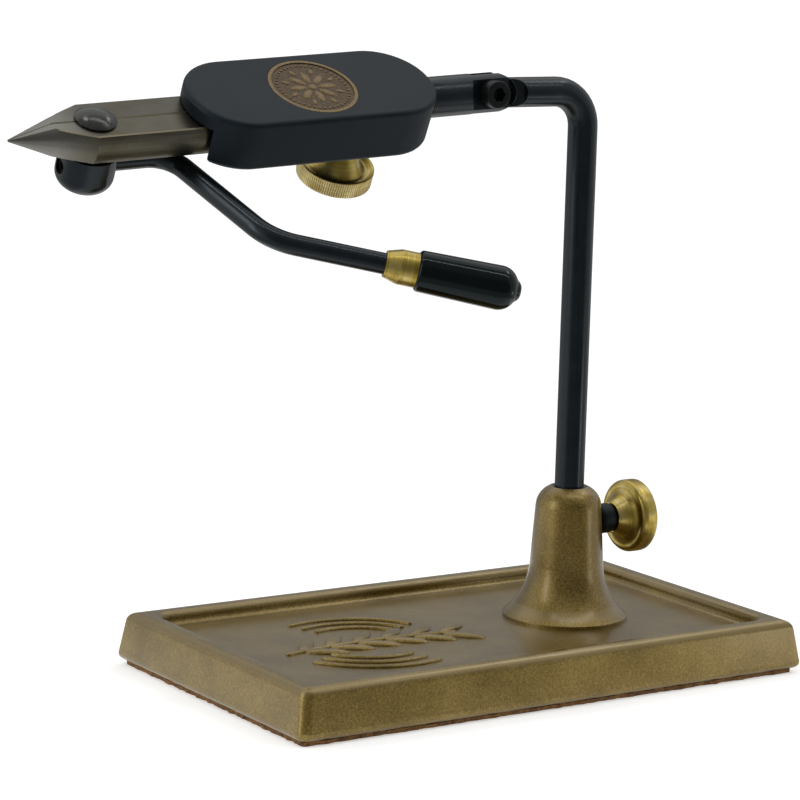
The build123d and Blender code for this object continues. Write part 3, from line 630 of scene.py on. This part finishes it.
# tray relief: a cast sprig with paired leaves and ripple arcs beside it, raised from the pocket's floor
trayRelief = {
    "centre": (-36, 0), "floor": 12.8, "rise": 0.9, "stroke": 1.0, "arcSteps": 40,
    "stemRadius": 150, "stemReach": 62, "pairs": 6, "leaf": (7.2, 2.4), "leafRise": 1.25, "leafLean": 38,
    "ripples": (19, 24.5, 30), "rippleCentre": (-2, -1), "rippleWays": (68, 248), "rippleArc": 80,
}  # mm and degrees


def makeTrayRelief():
    r = trayRelief
    bm = bmesh.new()
    level = Matrix.Translation((r["centre"][0] * mm, r["centre"][1] * mm, r["floor"] * mm))
    flat = Matrix.Diagonal((1, 1, r["rise"] / r["stroke"], 1))
    upright = Matrix.Rotation(math.pi / 2, 4, "X")

    def arc(middle, radius, facing, sweep):
        place = level @ Matrix.Translation((middle[0] * mm, middle[1] * mm, 0))
        place = place @ Matrix.Rotation(facing - sweep / 2, 4, "Z")
        out = Matrix.Translation((radius * mm, 0, 0))
        section = place @ out @ flat @ upright
        ring = bmesh.ops.create_circle(bm, segments=12, radius=r["stroke"] * mm, matrix=section)
        edges = list({e for v in ring["verts"] for e in v.link_edges})
        bmesh.ops.spin(bm, geom=ring["verts"] + edges, axis=(0, 0, 1), cent=place.translation, dvec=(0, 0, 0),
                       angle=sweep, steps=r["arcSteps"])
        for end in (0, sweep):
            cap = place @ Matrix.Rotation(end, 4, "Z") @ out @ flat
            bmesh.ops.create_uvsphere(bm, u_segments=12, v_segments=8, radius=r["stroke"] * mm, matrix=cap)

    def leaf(x, y, angle, halfLength, halfWidth):
        grow = Matrix.Diagonal((halfLength * mm, halfWidth * mm, r["leafRise"] * mm, 1))
        place = level @ Matrix.Translation((x * mm, y * mm, 0)) @ Matrix.Rotation(angle, 4, "Z") @ grow
        bmesh.ops.create_uvsphere(bm, u_segments=20, v_segments=10, radius=1, matrix=place)

    arc((0, -r["stemRadius"]), r["stemRadius"], math.pi / 2, r["stemReach"] / r["stemRadius"])
    reach = r["leaf"][0] + r["stroke"]
    for i in range(r["pairs"]):
        along = (i - (r["pairs"] - 1) / 2) * r["stemReach"] / r["pairs"]
        turn = along / r["stemRadius"]
        x, y = r["stemRadius"] * math.sin(turn), r["stemRadius"] * (math.cos(turn) - 1)
        for side in (-1, 1):
            angle = -turn + side * math.radians(r["leafLean"])
            leaf(x + reach * math.cos(angle), y + reach * math.sin(angle), angle, *r["leaf"])
    for radius in r["ripples"]:
        for way in r["rippleWays"]:
            arc(r["rippleCentre"], radius, math.radians(way), math.radians(r["rippleArc"]))
    addPiece("trayRelief", bm, "bronzePaint", "base")


makeTrayRelief()
print("pieces added")

# studio: pale floor in a white room, lit from above and both sides, dim behind the viewer and the object
studio = {
    "floorLight": "#f6f6f5", "floorDark": "#f2f2f1", "floorRadius": 0.19, "floorRough": 0.9,
    "floorGlow": 0.35, "paperScale": 20.0,  # the glow stands for the burnt-out white under the object
    "white": 1.1, "above": 1.2, "side": 0.84, "leftMore": 0.17, "viewer": 0.28, "far": 0.38, "ceiling": 0.45,
    "ground": 0.6, "viewerWay": (-0.3378, -0.9412, 0.0), "leftWay": (-0.8315, 0.5555, 0.0),
    "viewerFade": (0.38, 0.74), "farFade": (-0.4, -0.9), "groundFade": (-0.2, -0.5),
    "ceilingFade": (0.45, 0.8), "aboveFade": (0.5, 0.7), "viewerLean": 2.5, "leanStart": 0.2,
    "strips": {
        "left": {"place": (-1.25, 0.1, 0.55), "along": (0, 0, 1), "size": (0.25, 1.1), "power": 3},
        "over": {"place": (0.2, -0.43, 1.25), "along": (0.866, -0.462, 0), "size": (0.05, 1.3), "power": 2.2},
        "headLeft": {"place": (-0.51, 0.0, 1.32), "along": (0, 1, 0), "size": (0.12, 0.3), "power": 1.0},
        "headRight": {"place": (0.7, -0.07, 1.04), "along": (0, 1, 0), "size": (0.12, 0.3), "power": 0.6},
        "baseRight": {"place": (0.21, -0.2, 0.03), "along": (0, 0, 1), "size": (0.05, 0.05), "power": 0.025},
    },
    "target": (-0.03, 0.0, 0.1),
}  # metres and watts


def makeFloor():
    floorMesh = bpy.data.meshes.new("studioFloor")
    bm = bmesh.new()
    bmesh.ops.create_circle(bm, cap_ends=True, segments=96, radius=studio["floorRadius"])
    bm.to_mesh(floorMesh)
    bm.free()
    floor = bpy.data.objects.new("studioFloor", floorMesh)
    bpy.context.scene.collection.objects.link(floor)
    mat, shader, place = startMaterial("pale studio floor", **{
        "Roughness": studio["floorRough"], "Emission Color": (1, 1, 1, 1),
        "Emission Strength": studio["floorGlow"]})
    paper = addNode(mat, "TexNoise", {"Scale": studio["paperScale"], "Detail": 2.0}, {"Vector": place})
    tone = stops(addNode(mat, "ValToRGB", links={0: paper.outputs[0]}),
                 (0.0, linear(studio["floorDark"])), (1.0, linear(studio["floorLight"])))
    join(mat, tone.outputs[0], shader, "Base Color")
    floorMesh.materials.append(mat)


def makeRoom():
    s = studio
    world = bpy.data.worlds.new("softRoom")
    bpy.context.scene.world = world
    world.use_nodes = True
    world.node_tree.nodes.clear()
    way = addNode(world, "TexCoord").outputs["Generated"]
    height = addNode(world, "SeparateXYZ", links={0: way}).outputs[2]
    toward = {}
    for name in ("viewer", "left"):
        dot = addNode(world, "VectorMath", {"operation": "DOT_PRODUCT", 1: s[name + "Way"]}, {0: way})
        toward[name] = dot.outputs["Value"]
    soft = {"interpolation_type": "SMOOTHSTEP"}
    walls = addNode(world, "Math", {"operation": "MULTIPLY_ADD", 1: s["leftMore"], 2: s["side"]},
                    {0: toward["left"]}).outputs[0]
    for name in ("viewer", "far"):  # the walls get dim towards the viewer and straight across
        start, stop = s[name + "Fade"]
        dim = addNode(world, "MapRange", {**soft, 1: start, 2: stop, 3: 1.0, 4: s[name]},
                      {0: toward["viewer"]})
        walls = addNode(world, "Math", {"operation": "MULTIPLY"}, {0: walls, 1: dim.outputs[0]}).outputs[0]
    for name in ("ground", "ceiling"):
        start, stop = s[name + "Fade"]
        share = addNode(world, "MapRange", {**soft, 1: start, 2: stop}, {0: height})
        mixed = addNode(world, "Mix", {"data_type": "FLOAT", 3: s[name]}, {0: share.outputs[0], 2: walls})
        walls = mixed.outputs[0]
    # the bright part above leans away from the viewer
    ahead = addNode(world, "Math", {"operation": "ADD", 1: s["leanStart"]}, {0: toward["viewer"]})
    front = addNode(world, "Math", {"operation": "MAXIMUM", 1: 0.0}, {0: ahead.outputs[0]})
    lean = addNode(world, "Math", {"operation": "MULTIPLY_ADD", 1: -s["viewerLean"]},
                   {0: front.outputs[0], 2: height})
    start, stop = s["aboveFade"]
    share = addNode(world, "MapRange", {**soft, 1: start, 2: stop}, {0: lean.outputs[0]})
    level = addNode(world, "Mix", {"data_type": "FLOAT", 3: s["above"]}, {0: share.outputs[0], 2: walls})
    seen = addNode(world, "LightPath").outputs["Is Camera Ray"]  # the camera itself sees plain white
    shown = addNode(world, "Mix", {"data_type": "FLOAT", 3: s["white"]}, {0: seen, 2: level.outputs[0]})
    room = addNode(world, "Background", {"Color": (1, 1, 1, 1)}, {"Strength": shown.outputs[0]})
    addNode(world, "OutputWorld", links={"Surface": room.outputs[0]})


def makeStrips():
    for name, strip in studio["strips"].items():
        lamp = bpy.data.lights.new(name + "Strip", "AREA")
        lamp.shape = "RECTANGLE"
        lamp.size, lamp.size_y = strip["size"]
        lamp.energy = strip["power"]
        holder = bpy.data.objects.new(name + "Strip", lamp)
        bpy.context.scene.collection.objects.link(holder)
        back = (Vector(strip["place"]) - Vector(studio["target"])).normalized()
        across = Vector(strip["along"]).cross(back).normalized()
        turn = Matrix((across, back.cross(across), back)).transposed().to_4x4()
        holder.matrix_world = Matrix.Translation(strip["place"]) @ turn


makeFloor()
makeRoom()
makeStrips()

# camera at the photograph's place, in metres and degrees, the lens in mm
cameraPlace = {
    "place": (-0.55781, -0.79579, 0.25384), "azimuth": -33.743, "elevation": 9.777, "roll": 1.608,
    "lens": 140.57, "sensor": 36,
}


def makeCamera():
    az, el, roll = (math.radians(cameraPlace[k]) for k in ("azimuth", "elevation", "roll"))
    back = Vector((math.sin(az) * math.cos(el), -math.cos(az) * math.cos(el), math.sin(el)))
    right = Vector((math.cos(az), math.sin(az), 0))
    up = back.cross(right)
    across = right * math.cos(roll) + up * math.sin(roll)
    upright = up * math.cos(roll) - right * math.sin(roll)
    lensData = bpy.data.cameras.new("photoCamera")
    lensData.lens = cameraPlace["lens"]
    lensData.sensor_width = cameraPlace["sensor"]
    camera = bpy.data.objects.new("photoCamera", lensData)
    bpy.context.scene.collection.objects.link(camera)
    turn = Matrix((across, upright, back)).transposed().to_4x4()
    camera.matrix_world = Matrix.Translation(cameraPlace["place"]) @ turn
    bpy.context.scene.camera = camera


makeCamera()
bpy.context.scene.view_settings.view_transform = "Standard"
print("studio and camera ready")
